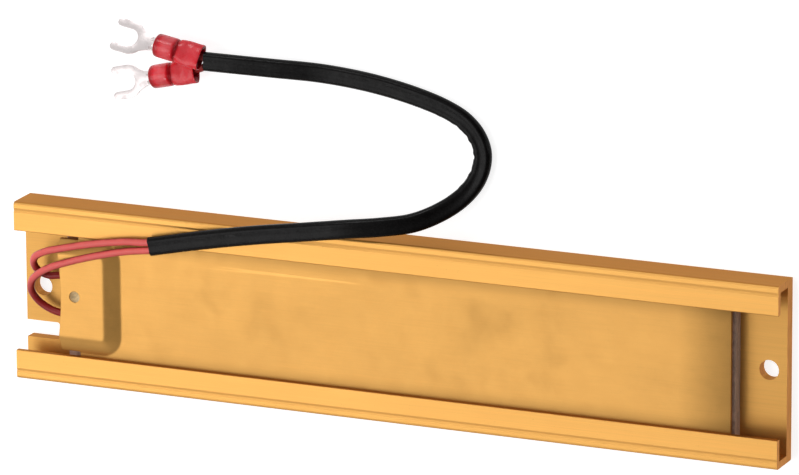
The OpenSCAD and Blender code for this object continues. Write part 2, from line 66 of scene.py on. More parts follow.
EVEN = (1.0, 1.0, 1.0)


# ---------------- shader maths


class Maths(Enum):
    """The Math node operations that a Value uses."""

    ADD = "ADD"
    SUBTRACT = "SUBTRACT"
    MULTIPLY = "MULTIPLY"
    ABSOLUTE = "ABSOLUTE"
    MAXIMUM = "MAXIMUM"
    SINE = "SINE"


class Value:
    """A number socket whose arithmetic adds Math nodes to its graph."""

    def __init__(self, graph: "Graph", socket: Socket) -> None:
        """Wraps a socket of a graph."""
        self.graph = graph
        self.socket = socket

    def _maths(self, operation: Maths, *terms: Link) -> "Value":
        """Adds one Math node.

        Args:
            operation: What the node does.
            terms: Its inputs, in order.

        Returns:
            The node's result.
        """
        node = self.graph.node("ShaderNodeMath", {"operation": operation.value}, dict(enumerate(terms)))
        return Value(self.graph, node.outputs[0])

    def __add__(self, other: Link) -> "Value":
        """This plus other."""
        return self._maths(Maths.ADD, self, other)

    def __radd__(self, other: Link) -> "Value":
        """Other plus this."""
        return self._maths(Maths.ADD, other, self)

    def __sub__(self, other: Link) -> "Value":
        """This less other."""
        return self._maths(Maths.SUBTRACT, self, other)

    def __rsub__(self, other: Link) -> "Value":
        """Other less this."""
        return self._maths(Maths.SUBTRACT, other, self)

    def __mul__(self, other: Link) -> "Value":
        """This times other."""
        return self._maths(Maths.MULTIPLY, self, other)

    def __rmul__(self, other: Link) -> "Value":
        """Other times this."""
        return self._maths(Maths.MULTIPLY, other, self)

    def __abs__(self) -> "Value":
        """This without its sign."""
        return self._maths(Maths.ABSOLUTE, self)

    def most(self, other: Link) -> "Value":
        """The larger of this and other."""
        return self._maths(Maths.MAXIMUM, self, other)

    def sine(self) -> "Value":
        """The sine of this."""
        return self._maths(Maths.SINE, self)

    def step(self, low: float, high: float) -> "Value":
        """A smooth step.

        Args:
            low: Where it is 0.
            high: Where it is 1. It may be below low.

        Returns:
            The stepped value.
        """
        settings = {"interpolation_type": "SMOOTHSTEP", "clamp": True}
        sockets = {"Value": self, "From Min": low, "From Max": high, "To Min": 0.0, "To Max": 1.0}
        node = self.graph.node("ShaderNodeMapRange", settings, sockets)
        return Value(self.graph, node.outputs["Result"])


class Graph:
    """A material's node tree with one Principled shader."""

    def __init__(self, name: str) -> None:
        """Starts a material of that name."""
        self.material = bpy.data.materials.new(name)
        self.material.use_nodes = True
        self.tree = self.material.node_tree
        self.tree.nodes.clear()
        self.out = self.node("ShaderNodeOutputMaterial")
        self.shader = self.node("ShaderNodeBsdfPrincipled")
        self.tree.links.new(self.shader.outputs[0], self.out.inputs["Surface"])

    @classmethod
    def over(cls, tree: bpy.types.NodeTree) -> "Graph":
        """A graph over a tree that isn't a material's."""
        graph = cls.__new__(cls)
        graph.tree = tree
        return graph

    def node(
        self,
        kind: str,
        settings: dict[str, object] | None = None,
        sockets: dict[str | int, Link] | None = None,
    ) -> bpy.types.Node:
        """Adds a node.

        Args:
            kind: The node's type.
            settings: Its settings, which are set first.
            sockets: The values or links of its input sockets.

        Returns:
            The node.
        """
        made = self.tree.nodes.new(kind)
        for key, value in (settings or {}).items():
            setattr(made, key, value)
        for key, value in (sockets or {}).items():
            self.feed(made.inputs[key], value)
        return made

    def feed(self, socket: Socket, value: Link) -> None:
        """Links or sets a socket."""
        if isinstance(value, Value):
            value = value.socket
        if isinstance(value, Socket):
            self.tree.links.new(value, socket)
        elif isinstance(value, tuple) and len(value) == 3 and socket.type == "RGBA":
            socket.default_value = (*value, 1.0)
        else:
            socket.default_value = value

    def dress(self, sockets: dict[str, Link]) -> Material:
        """Feeds the Principled shader and returns the material."""
        for key, value in sockets.items():
            self.feed(self.shader.inputs[key], value)
        return self.material

    def place(self, stretch: Point = EVEN) -> Socket:
        """The object's own coordinates, in metres, times a stretch."""
        where = self.node("ShaderNodeTexCoord").outputs["Object"]
        sockets = {0: where, 1: stretch}
        return self.node("ShaderNodeVectorMath", {"operation": "MULTIPLY"}, sockets).outputs[0]

    def axes(self, vector: Socket) -> tuple[Value, Value, Value]:
        """The three numbers of a vector."""
        split = self.node("ShaderNodeSeparateXYZ", None, {0: vector})
        return tuple(Value(self, socket) for socket in split.outputs)

    def facing(self) -> tuple[Value, Value, Value]:
        """The surface's normal in the frame of the solids."""
        return self.axes(self.node("ShaderNodeNewGeometry").outputs["Normal"])

    def noise(
        self,
        size: float,
        stretch: Point = EVEN,
        detail: float = 3.0,
        rough: float = 0.5,
        twist: float = 0.0,
    ) -> Value:
        """Soft noise from about 0.3 to 0.7.

        Args:
            size: Width of its spots, in metres.
            stretch: How dense it is along each axis.
            detail: Its octaves.
            rough: The strength of the fine octaves.
            twist: How far it distorts itself.

        Returns:
            The noise.
        """
        sockets = {"Vector": self.place(stretch), "Scale": 1.0 / size, "Detail": detail}
        sockets |= {"Roughness": rough, "Distortion": twist}
        return Value(self, self.node("ShaderNodeTexNoise", None, sockets).outputs[0])

    def cells(self, size: float, stretch: Point = EVEN) -> Value:
        """Distance to the middle of irregular cells of that size."""
        sockets = {"Vector": self.place(stretch), "Scale": 1.0 / size}
        return Value(self, self.node("ShaderNodeTexVoronoi", None, sockets).outputs[0])

    def mix(self, share: Link, first: Link, second: Link) -> Socket:
        """A colour from first to second by share."""
        settings = {"data_type": "RGBA", "blend_type": "MIX", "clamp_factor": True}
        return self.node("ShaderNodeMix", settings, {0: share, 6: first, 7: second}).outputs[2]

    def bump(self, height: Link, depth: float, strength: float = 1.0) -> Socket:
        """A normal bent by a height from 0 to 1, depth metres deep."""
        sockets = {"Height": height, "Distance": depth, "Strength": strength}
        return self.node("ShaderNodeBump", None, sockets).outputs["Normal"]


def shaded(colour: Colour, times: float) -> Colour:
    """A colour made lighter or darker."""
    return tuple(min(1.0, c * times) for c in colour)


# ---------------- finishes


@dataclass(frozen=True)
class Finish:
    """A surface finish: a name and its main colour."""

    name: str
    colour: Colour

    def material(self) -> Material:
        """Builds the material."""
        raise NotImplementedError


@dataclass(frozen=True)
class Gold(Finish):
    """Satin gold anodising, whose grazing shine is gold too."""

    metallic: float = 0.78
    roughness: float = 0.46
    tint: Colour = (1.0, 0.72, 0.42)

    def anodised(self, g: Graph, colour: Link, rough: Link, normal: Link) -> Material:
        """Dresses the metal.

        Args:
            g: The material's graph.
            colour: Its colour.
            rough: Its roughness.
            normal: Its normal.

        Returns:
            The material.
        """
        return g.dress({
            "Base Color": colour,
            "Metallic": self.metallic,
            "Specular Tint": self.tint,
            "Roughness": rough,
            "Normal": normal,
        })


@dataclass(frozen=True)
class GoldExtrusion(Gold):
    """Gold on an extrusion, with die lines along X and sawn ends, painted shade on its side faces and
    recessed floor, and painted light on the slopes of its scores.
    """

    sawn: Colour = (0.60, 0.27, 0.085)
    # painted shade: the darker colour given to faces that look along Y
    painted_flank_shade: Colour = (0.46, 0.195, 0.042)
    # painted shade: up-facing surfaces below this height are darkened
    recess_shade_level: float = 8.2 * MM

    def material(self) -> Material:
        """Die lines, soft clouds, and saw marks on the ends, with painted shade on the side faces and the
        recessed floor and painted light on the score slopes.
        """
        g = Graph(self.name)
        lines = g.noise(0.00035, (0.012, 1.0, 1.0), 4.0, 0.65)
        broad = g.noise(0.0022, (0.01, 1.0, 1.0), 2.0, 0.5)
        clouds = g.noise(0.018, (0.5, 1.0, 1.0), 3.0, 0.55)
        pits = g.noise(0.0006, EVEN, 2.0, 0.5).step(0.70, 0.78)
        teeth = g.noise(0.0003, (1.0, 0.06, 1.0), 2.0, 0.6)
        end = abs(g.facing()[0]).step(0.6, 0.8)
        # painted shade: mask of the faces that look along Y, which get the darker side colour
        side = abs(g.facing()[1]).step(0.5, 0.9)
        tone = (lines * 0.55 + broad * 0.25 + clouds * 0.2).step(0.34, 0.66)
        # painted light: the slopes of the scores along the lips are made lighter
        painted_score_light = abs(g.facing()[1]).step(0.12, 0.24) * g.facing()[2].step(0.8, 0.9)
        drawn = g.mix(tone, shaded(self.colour, 0.93), shaded(self.colour, 1.05))
        drawn = g.mix(painted_score_light * 0.5, drawn, shaded(self.colour, 1.15))
        painted_flank_shade = g.mix(tone, shaded(self.painted_flank_shade, 0.92), shaded(self.painted_flank_shade, 1.08))
        level = g.axes(g.place())[2]
        # painted shade: up-facing surfaces low inside the channel are made darker
        inner = level.step(self.recess_shade_level + 0.4 * MM, self.recess_shade_level) * g.facing()[2].step(0.5, 0.8)
        drawn = g.mix(inner, drawn, g.mix(tone, shaded(self.colour, 0.70), shaded(self.colour, 0.80)))
        cut = g.mix(teeth.step(0.35, 0.65), shaded(self.sawn, 0.86), shaded(self.sawn, 1.12))
        colour = g.mix(pits * 0.25, g.mix(end, g.mix(side, drawn, painted_flank_shade), cut), shaded(self.colour, 0.5))
        rough = self.roughness + (lines - 0.5) * 0.16 + (clouds - 0.5) * 0.12 + end * 0.1
        height = lines * (1 - end) + teeth * end
        return self.anodised(g, colour, rough, g.bump(height, 0.000012))


@dataclass(frozen=True)
class GoldSheet(Gold):
    """Gold anodised sheet: duller and cloudier than the extrusion, with light rolling marks and painted
    shade along its edges under the lips.
    """

    # painted shade: the plate darkens between these distances off its middle, towards the lips
    lip_shade_from: float = 12.5 * MM
    lip_shade_to: float = 17.5 * MM
    metallic: float = 0.74
    roughness: float = 0.44

    def material(self) -> Material:
        """Clouds, rolling marks, a few hairline scratches, and painted shade towards the lips."""
        g = Graph(self.name)
        rolled = g.noise(0.0004, (0.03, 1.0, 1.0), 3.0, 0.6)
        clouds = g.noise(0.022, (0.55, 1.0, 1.0), 4.0, 0.6, 0.4)
        spots = g.noise(0.004, EVEN, 3.0, 0.6)
        smudge = g.noise(0.014, (1.0, 0.8, 1.0), 3.0, 0.6, 0.3).step(0.5, 0.8)
        scratch = g.noise(0.0016, (0.02, 1.7, 1.0), 1.0, 0.4, 0.3).step(0.735, 0.76)
        tone = (clouds * 0.55 + spots * 0.25 + rolled * 0.2).step(0.36, 0.64)
        # painted shade: darker along the edges that run under the lips, with a cloudy border
        along = abs(g.axes(g.place())[1]) + (clouds - 0.5) * 3 * MM
        rim = along.step(self.lip_shade_from, self.lip_shade_to)
        plain = g.mix(tone, shaded(self.colour, 0.93), shaded(self.colour, 1.06))
        smudges_and_lip_shade = g.mix((smudge * 0.07).most(rim * 0.6), plain, shaded(self.colour, 0.5))
        colour = g.mix(scratch * 0.2, smudges_and_lip_shade, shaded(self.colour, 1.2))
        rough = self.roughness + (spots - 0.5) * 0.14 + smudge * 0.05 - scratch * 0.08
        return self.anodised(g, colour, rough, g.bump(rolled * 0.6 + spots * 0.4, 0.00001))


@dataclass(frozen=True)
class MicaBoard(Finish):
    """Pressed mica board: dull flakes on its faces and thin leaves on its edges."""

    def material(self) -> Material:
        """Flakes and leaves."""
        g = Graph(self.name)
        flakes = g.cells(0.0024, (1.0, 1.0, 0.4))
        leaves = g.noise(0.00022, (0.05, 0.02, 1.0), 3.0, 0.7)
        dust = g.noise(0.0012, EVEN, 3.0, 0.6)
        flat = abs(g.facing()[2]).step(0.4, 0.8)
        edge = g.mix(leaves.step(0.38, 0.62), shaded(self.colour, 0.62), shaded(self.colour, 1.35))
        face = g.mix(flakes.step(0.1, 0.8), shaded(self.colour, 1.15), shaded(self.colour, 0.8))
        colour = g.mix(dust.step(0.45, 0.75) * 0.35, g.mix(flat, edge, face), shaded(self.colour, 1.5))
        return g.dress({
            "Base Color": colour,
            "Roughness": 0.58 + (dust - 0.5) * 0.3,
            "Normal": g.bump(leaves * (1 - flat) + flakes * flat, 0.00004),
        })


@dataclass(frozen=True)
class Silicone(Finish):
    """Smooth silicone insulation, with painted light making it pale where it faces up and painted shade
    making it deep red below and low down.
    """

    # painted shade: the colour of the undersides and of the low parts
    deep: Colour = (0.27, 0.004, 0.004)
    roughness: float = 0.32

    def material(self) -> Material:
        """Faint clouds and extrusion lines, under painted light on top and painted shade below and low down.
        """
        g = Graph(self.name)
        clouds = g.noise(0.003, EVEN, 3.0, 0.55)
        fine = g.noise(0.0005, EVEN, 2.0, 0.5)
        painted_top_light = (g.facing()[2] + (clouds - 0.5) * 0.8).step(-0.1, 0.95)
        # painted shade: low in the channel the leads keep mostly the deep colour
        high = g.axes(g.place())[2].step(7.5 * MM, 11.2 * MM)
        painted_top_light = painted_top_light * (0.1 + 0.9 * high)
        colour = g.mix(painted_top_light, self.deep, self.colour)
        return g.dress({
            "Base Color": colour,
            "Roughness": self.roughness + (fine - 0.5) * 0.2,
            "Specular IOR Level": 0.25,
            "Subsurface Weight": 0.08,
            "Subsurface Scale": 0.0006,
            "Normal": g.bump(fine, 0.00001),
        })


@dataclass(frozen=True)
class VarnishedSleeving(Finish):
    """Black varnished sleeving: a fine braid under a slightly uneven shine."""

    def material(self) -> Material:
        """A braid on the slant, and uneven varnish."""
        g = Graph(self.name)
        x, y, z = g.axes(g.place())
        pitch = 2 * math.pi / 0.0007
        weave = ((x + y) * pitch + z * pitch * 0.8).sine() * ((x - y) * pitch - z * pitch * 0.8).sine()
        varnish = g.noise(0.0028, EVEN, 3.0, 0.6)
        grit = g.noise(0.0005, EVEN, 3.0, 0.6)
        colour = g.mix(grit.step(0.4, 0.75), self.colour, shaded(self.colour, 2.2))
        return g.dress({
            "Base Color": colour,
            "Roughness": 0.26 + (varnish - 0.5) * 0.4,
            "Specular IOR Level": 0.11,
            "Normal": g.bump(weave * 0.12 + 0.5 + (varnish - 0.5) * 1.2, 0.00004),
        })


@dataclass(frozen=True)
class Vinyl(Finish):
    """Soft glossy vinyl, with painted glow where the barrel inside would show through and painted shade in
    its bands and inside.
    """

    # painted shade and painted glow: the colours that the shade attribute picks between
    deep: Colour = (0.46, 0.006, 0.014)
    painted_glow: Colour = (0.99, 0.12, 0.14)
    shade: str = "shade"

    def material(self) -> Material:
        """Slight streaks under a glossy skin, with painted glow and painted shade led by the shade
        attribute.
        """
        g = Graph(self.name)
        clouds = g.noise(0.0025, EVEN, 3.0, 0.6)
        ripple = g.noise(0.0011, EVEN, 2.0, 0.5)
        shade = Value(g, g.node("ShaderNodeAttribute", {"attribute_name": self.shade}).outputs["Fac"])
        share = clouds.step(0.3, 0.7)
        # painted glow where the shade attribute is below 0, painted shade where it is above
        clear = g.mix(share * 0.35 - shade, shaded(self.colour, 0.96), self.painted_glow)
        colour = g.mix(shade, clear, g.mix(share, shaded(self.deep, 0.85), self.deep))
        return g.dress({
            "Base Color": colour,
            "Roughness": 0.27 + (ripple - 0.5) * 0.18,
            "Subsurface Weight": 0.2,
            "Subsurface Scale": 0.001,
            "Specular IOR Level": 0.22,
            "Coat Weight": 0.2,
            "Coat Roughness": 0.08,
            "Normal": g.bump(ripple, 0.00006),
        })


@dataclass(frozen=True)
class PlatedMetal(Finish):
    """Bright or dull plated metal, with rolling marks and stains."""

    roughness: float = 0.22
    stain: float = 0.2

    def material(self) -> Material:
        """Fine rolling marks and soft stains."""
        g = Graph(self.name)
        rolled = g.noise(0.0003, (0.15, 1.0, 1.0), 3.0, 0.6)
        stains = g.noise(0.003, EVEN, 3.0, 0.6)
        worn = stains.step(0.5, 0.72) * self.stain
        colour = g.mix(worn, self.colour, shaded(self.colour, 0.6))
        return g.dress({
            "Base Color": colour,
            "Metallic": 1.0,
            "Roughness": self.roughness + (rolled - 0.5) * 0.15 + worn * 0.5,
            "Normal": g.bump(rolled, 0.00001),
        })


@dataclass(frozen=True)
class DryCement(Finish):
    """Dry silicone cement with grains and pin holes."""

    def material(self) -> Material:
        """Grains and holes, with painted shade in the holes."""
        g = Graph(self.name)
        grains = g.noise(0.0006, EVEN, 4.0, 0.65)
        # painted shade: the pin holes are darkened as well as sunk by the bump
        holes = g.cells(0.0012).step(0.16, 0.05)
        tone = g.mix(grains.step(0.35, 0.65), shaded(self.colour, 0.8), shaded(self.colour, 1.1))
        return g.dress({
            "Base Color": g.mix(holes * 0.6, tone, shaded(self.colour, 0.4)),
            "Roughness": 0.85,
            "Normal": g.bump(grains - holes * 0.6, 0.00015),
        })


@dataclass(frozen=True)
class GlassBraid(Finish):
    """Woven glass sleeving."""

    def material(self) -> Material:
        """A small braid on the slant."""
        g = Graph(self.name)
        x, y, z = g.axes(g.place())
        pitch = 2 * math.pi / 0.0009
        braid = ((x + y) * pitch).sine() * ((x - z) * pitch).sine()
        colour = g.mix(braid.step(-0.6, 0.6), shaded(self.colour, 0.7), self.colour)
        return g.dress({
            "Base Color": colour,
            "Roughness": 0.7,
            "Normal": g.bump(braid * 0.5 + 0.5, 0.0001),
        })


class Look(Enum):
    """The finishes of this resistor."""

    CHANNEL = GoldExtrusion("gold_channel", (0.86, 0.453, 0.118))
    PLATE = GoldSheet("gold_plate", (0.69, 0.364, 0.097))
    MICA = MicaBoard("mica_board", (0.70, 0.51, 0.41))
    RIBBON = PlatedMetal("resistance_ribbon", (0.46, 0.43, 0.38), 0.35, 0.5)
    NICKEL = PlatedMetal("nickel_plate", (0.62, 0.60, 0.55), 0.3, 0.4)
    TIN = PlatedMetal("bright_tin", (0.80, 0.735, 0.73), 0.38, 0.3)
    LEAD = Silicone("red_silicone", (0.99, 0.165, 0.15))
    SLEEVE = VarnishedSleeving("black_sleeving", (0.004, 0.0035, 0.0035))
    VINYL = Vinyl("red_vinyl", (0.95, 0.018, 0.036))
    CEMENT = DryCement("dry_cement", (0.88, 0.66, 0.36))
    GLASS = GlassBraid("glass_braid", (0.75, 0.71, 0.6))


@dataclass
class Finishes:
    """Builds each finish once."""

    made: dict[Look, Material] = field(default_factory=dict)

    def of(self, look: Look) -> Material:
        """The material of a look."""
        if look not in self.made:
            self.made[look] = look.value.material()
        return self.made[look]


# ---------------- meshes


def add_piece(
    name: str,
    points: Iterable[Vector],
    faces: Iterable[Sequence[int]],
    material: Material,
    sharp: float = 40.0,
) -> Piece:
    """Makes a mesh piece that rides on the part.

    Args:
        name: The piece's name.
        points: Its points, in metres.
        faces: Its faces, as indices of points.
        material: What it is made of.
        sharp: Edges that turn by more than this many degrees stay sharp.

    Returns:
        The piece.
    """
    mesh = bpy.data.meshes.new(name)
    mesh.from_pydata([tuple(p) for p in points], [], [tuple(f) for f in faces])
    piece = bpy.data.objects.new(name, mesh)
    bpy.context.scene.collection.objects.link(piece)
    tidy_normals(mesh, sharp)
    mesh.materials.append(material)
    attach(piece, BODY)
    return piece


def tidy_normals(mesh: bpy.types.Mesh, sharp: float) -> None:
    """Turns all faces outwards and smooths those that meet at less than sharp degrees."""
    work = bmesh.new()
    work.from_mesh(mesh)
    bmesh.ops.recalc_face_normals(work, faces=work.faces)
    work.to_mesh(mesh)
    work.free()
    mesh.shade_smooth()
    mesh.set_sharp_from_angle(angle=math.radians(sharp))


def bake_modifiers(piece: Piece, sharp: float) -> None:
    """Applies a piece's modifiers to its mesh."""
    graph = bpy.context.evaluated_depsgraph_get()
    mesh = bpy.data.meshes.new_from_object(piece.evaluated_get(graph))
    piece.modifiers.clear()
    piece.data = mesh
    mesh.shade_smooth()
    mesh.set_sharp_from_angle(angle=math.radians(sharp))


def loft(
    rings: Sequence[Sequence[Vector]], start: bool = True, end: bool = True
) -> tuple[list[Vector], Faces]:
    """Joins closed rings of equal length.

    Args:
        rings: The rings, in order.
        start: Whether the first ring is closed by a face.
        end: Whether the last ring is.

    Returns:
        Points and faces.
    """
    count = len(rings[0])
    points = [p for ring in rings for p in ring]
    faces: Faces = []
    for i in range(len(rings) - 1):
        a, b = i * count, (i + 1) * count
        faces += [(a + k, a + (k + 1) % count, b + (k + 1) % count, b + k) for k in range(count)]
    if start:
        faces.append(tuple(range(count - 1, -1, -1)))
    if end:
        faces.append(tuple(range((len(rings) - 1) * count, len(rings) * count)))
    return points, faces


def level_side(heading: Vector) -> Vector:
    """The level direction to the left of a heading."""
    return Vector((0, 0, 1)).cross(heading).normalized()


def headings(route: Sequence[Vector]) -> list[Vector]:
    """The direction of travel at each point of a route."""
    last = len(route) - 1
    return [(route[min(i + 1, last)] - route[max(i - 1, 0)]).normalized() for i in range(last + 1)]


def beside(route: Sequence[Vector], shift: float) -> list[Vector]:
    """A route moved level to its left."""
    return [p + level_side(d) * shift for p, d in zip(route, headings(route))]


def smooth_route(points: Sequence[Vector], step: float) -> list[Vector]:
    """A smooth curve through the points of a route.

    Args:
        points: What it passes through.
        step: The distance between the curve's points.

    Returns:
        The curve's points.
    """
    ends = [points[0] * 2 - points[1], *points, points[-1] * 2 - points[-2]]
    fine: list[Vector] = []
    for i in range(1, len(ends) - 2):
        before, low, high, after = ends[i - 1 : i + 3]
        gap = (high - low).length ** 0.5
        near = max((low - before).length ** 0.5, 1e-6)
        far = max((after - high).length ** 0.5, 1e-6)
        leave = (high - low) + ((low - before) / near - (high - before) / (near + gap)) * gap
        reach = (high - low) + ((after - high) / far - (after - low) / (far + gap)) * gap
        parts = max(2, round((high - low).length / step))
        for k in range(parts):
            t = k / parts
            fine.append(
                low * (2 * t**3 - 3 * t**2 + 1)
                + leave * (t**3 - 2 * t**2 + t)
                + high * (3 * t**2 - 2 * t**3)
                + reach * (t**3 - t**2)
            )
    fine.append(points[-1].copy())
    return fine


def length_of(route: Sequence[Vector]) -> float:
    """The length of a route."""
    return sum((b - a).length for a, b in zip(route, route[1:]))


def sweep(
    route: Sequence[Vector], section: Callable[[float], Sequence[tuple[float, float]]]
) -> list[list[Vector]]:
    """Rings of a section along a route.

    Args:
        route: The middle of each ring.
        section: Gives the (left, up) points of the ring at a distance along the route.

    Returns:
        One ring for each point of the route.
    """
    rings = []
    along = 0.0
    last = route[0]
    for point, heading in zip(route, headings(route)):
        along += (point - last).length
        last = point
        side = level_side(heading)
        up = heading.cross(side)
        rings.append([point + side * a + up * b for a, b in section(along)])
    return rings


def circle(radius: float, sides: int) -> list[tuple[float, float]]:
    """Points of a circle."""
    turns = [2 * math.pi * k / sides for k in range(sides)]
    return [(radius * math.cos(t), radius * math.sin(t)) for t in turns]


# ---------------- what the solids already show


@dataclass
class DressedSolids:
    """CAD solids whose own shape shows, and the finish of each."""

    finishes: Finishes
    wearers: tuple[tuple[Look, tuple[str, ...]], ...] = (
        (Look.CHANNEL, ("housing",)),
        (Look.MICA, ("mica_base_sheet", "mica_under_sheet", "mica_spacer_frame")),
        (Look.MICA, ("mica_over_sheet", "mica_top_sheet", "card_a", "card_b")),
        (Look.RIBBON, ("ribbon_a", "ribbon_b")),
        (Look.NICKEL, ("ribbon_bridge", "card_eyelets", "tab_a", "tab_b")),
        (Look.NICKEL, ("splice_ferrule_a", "splice_ferrule_b")),
        (Look.GLASS, ("glass_sleeve_a", "glass_sleeve_b")),
        (Look.CEMENT, ("cement_fill",)),
    )

    def build(self) -> None:
        """Gives each solid its material."""
        for look, names in self.wearers:
            for name in names:
                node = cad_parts[name]
                node.data.materials.clear()
                node.data.materials.append(self.finishes.of(look))
                LOG.info("solid %s dressed in %s", name, look.value.name)


# ---------------- cover plate


@dataclass
class CoverPlate:
    """The pressed plate, with the soft curves of its boss and its drawn-in mouth."""

    finishes: Finishes
    sheet: float = 1.0 * MM
    boss_rise: float = 1.7 * MM
    boss_length: float = 18.0 * MM
    flat_half: float = 11.0 * MM
    run: float = 5.1 * MM
    shoulder: float = 2.4 * MM
    corner: float = 0.6 * MM
    foot: float = 0.6 * MM
    relief: float = 5.5 * MM
    bite: float = 0.5 * MM
    drawn_in: float = 0.7 * MM
    hole_radius: float = 1.55 * MM
    hole_inset: float = 4.8 * MM
    edge: float = 0.1 * MM

    def __post_init__(self) -> None:
        """Takes the plate's place from its solid."""
        self.low, self.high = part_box("cover_plate")
        self.top = self.low.z + self.sheet
        rounds = self.shoulder + self.foot
        left = rounds - self.boss_rise
        self.slope = math.asin(rounds / math.hypot(self.run, left)) - math.atan2(left, self.run)
        self.core_x = self.low.x + self.boss_length - self.run - self.corner
        self.core_y = self.flat_half - self.corner

    def rise(self, x: float, y: float) -> float:
        """Height of the pressed form over the plate at a point."""
        across = math.hypot(max(0.0, x - self.core_x), max(0.0, abs(y) - self.core_y)) - self.corner
        if across <= 0:
            return self.boss_rise
        if across >= self.run:
            return 0.0
        if across < self.shoulder * math.sin(self.slope):
            return self.boss_rise - self.shoulder + math.sqrt(self.shoulder**2 - across**2)
        left = self.run - across
        if left < self.foot * math.sin(self.slope):
            return self.foot - math.sqrt(self.foot**2 - left**2)
        fallen = self.foot * (1 - math.cos(self.slope))
        return fallen + (left - self.foot * math.sin(self.slope)) * math.tan(self.slope)

    def lines(self) -> tuple[list[float], list[float]]:
        """Where the plate's grid lines lie along X and across Y."""
        mouth = self.low.x
        cut = mouth + self.relief
        foot = mouth + self.boss_length + self.foot
        xs = [mouth + (cut - mouth) * k / 18 for k in range(18)]
        xs += [cut + (foot - cut) * k / 42 for k in range(42)]
        xs += [foot + (self.high.x - foot) * k / 12 for k in range(13)]
        side = self.flat_half + self.run + 0.05 * MM
        inner = self.flat_half + self.run - self.bite
        ys = [-inner + 2 * inner * k / 108 for k in range(109)]
        ys = [-side, -(side + inner) / 2, *ys, (side + inner) / 2, side]
        return xs, [self.low.y, *ys, self.high.y]

    def build(self) -> Piece:
        """Makes the plate and hides its solid.

        Returns:
            The plate.
        """
        xs, ys = self.lines()
        cut = self.low.x + self.relief
        inner = self.flat_half + self.run - self.bite
        points = []
        for level in (self.top, self.low.z):
            for x in xs:
                for y in ys:
                    near = max(0.0, 1 - (x - self.low.x) / (3 * MM))
                    mid = max(0.0, 1 - (y / self.flat_half) ** 2)
                    points.append(Vector((x + self.drawn_in * near * mid, y, level + self.rise(x, y))))
        rows, columns = len(xs), len(ys)
        kept = {
            (i, j)
            for i in range(rows - 1)
            for j in range(columns - 1)
            if not (xs[i] < cut - 1e-7 and (ys[j] < -inner - 1e-7 or ys[j + 1] > inner + 1e-7))
        }
        under = rows * columns
        faces = []
        for i, j in kept:
            a, b = i * columns + j, (i + 1) * columns + j
            c, d = b + 1, a + 1
            faces += [(a, b, c, d), (a + under, d + under, c + under, b + under)]
            walls = {(i - 1, j): (a, d), (i + 1, j): (b, c), (i, j - 1): (a, b), (i, j + 1): (d, c)}
            for beyond, (u, v) in walls.items():
                if beyond not in kept:
                    faces.append((u, v, v + under, u + under))
        plate = add_piece("cover_plate_pressed", points, faces, self.finishes.of(Look.PLATE))
        self.pierce(plate)
        round_edges(plate, self.edge)
        bake_modifiers(plate, 30.0)
        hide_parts("cover_plate")
        LOG.info("cover plate: %d faces", len(plate.data.polygons))
        return plate

    def pierce(self, plate: Piece) -> None:
        """Cuts the filling hole."""
        middle = Vector((self.low.x + self.hole_inset, 0, self.high.z))
        rings = [
            [middle + Vector((a, b, z)) for a, b in circle(self.hole_radius, 48)]
            for z in (-3 * self.sheet, self.sheet)
        ]
        cutter = add_piece("filling_hole_cutter", *loft(rings), self.finishes.of(Look.PLATE))
        cutting = plate.modifiers.new("hole", "BOOLEAN")
        cutting.operation = "DIFFERENCE"
        cutting.solver = "EXACT"
        cutting.object = cutter
        bake_modifiers(plate, 30.0)
        bpy.data.objects.remove(cutter)


@dataclass
class CementDish:
    """The cement in the plate's filling hole, drawn down in the middle as it dried."""

    finishes: Finishes
    plate: CoverPlate
    rim: float = 0.2 * MM
    floor: float = 0.93 * MM
    gap: float = 0.02 * MM

    def build(self) -> Piece:
        """Makes the dish.

        Returns:
            The dish.
        """
        middle = Vector((self.plate.low.x + self.plate.hole_inset, 0, self.plate.high.z))
        wide = self.plate.hole_radius - self.gap
        profile = [(wide, -self.plate.sheet), (wide, -self.rim)]
        for k in range(1, 13):
            share = 1 - k / 13
            profile.append((wide * share, -self.floor + (self.floor - self.rim) * share**2.6))
        rings = [[middle + Vector((a, b, z)) for a, b in circle(r, 40)] for r, z in profile]
        dish = add_piece("cement_dish", *loft(rings), self.finishes.of(Look.CEMENT), 50.0)
        LOG.info("cement dish: %d faces", len(dish.data.polygons))
        return dish


def round_edges(piece: Piece, width: float, angle: float = 55.0, segments: int = 2) -> None:
    """Adds a small round to a piece's sharp edges."""
    rounding = piece.modifiers.new("edges", "BEVEL")
    rounding.width = width
    rounding.segments = segments
    rounding.limit_method = "ANGLE"
    rounding.angle_limit = math.radians(angle)
    rounding.harden_normals = False


# ---------------- leads and sleeve

SLEEVE_ROUTE: list[Point] = [
    (-68.5, 17.1, 12.1), (-53, 20.5, 12.1), (-38, 23.4, 12.1), (-24, 25.7, 12.1),
    (-11, 27.7, 11.4), (-2, 28.8, 9.8), (6, 30.2, 7.6), (12.5, 33, 5.1),
    (17.8, 36.8, 3.1), (21.4, 41.2, 2), (23.2, 45.6, 1.6), (23.5, 50, 1.6),
    (21.8, 54.2, 1.6), (18.4, 57.7, 1.6), (13.4, 60.3, 1.6), (5, 62.9, 1.6),
    (-8, 65.4, 1.6), (-22, 66.8, 2.1), (-36, 67.4, 4.1), (-46, 67.7, 5.2),
    (-53.7, 67.8, 5.5),
]


class Side(Enum):
    """The two leads: A lies to the left of the sleeve's travel."""

    A = 1
    B = -1

    @property
    def letter(self) -> str:
        """The letter in the names of its pieces."""
        return self.name.lower()


@dataclass(frozen=True)
class Circuit:
    """One lead's route from its splice to its terminal, in millimetres and degrees."""

    side: Side
    start: Point
    bare: tuple[Point, ...]
    tail: tuple[Point, ...]
    wire_end: Point
    turn: float
    tilt: float
    roll: float


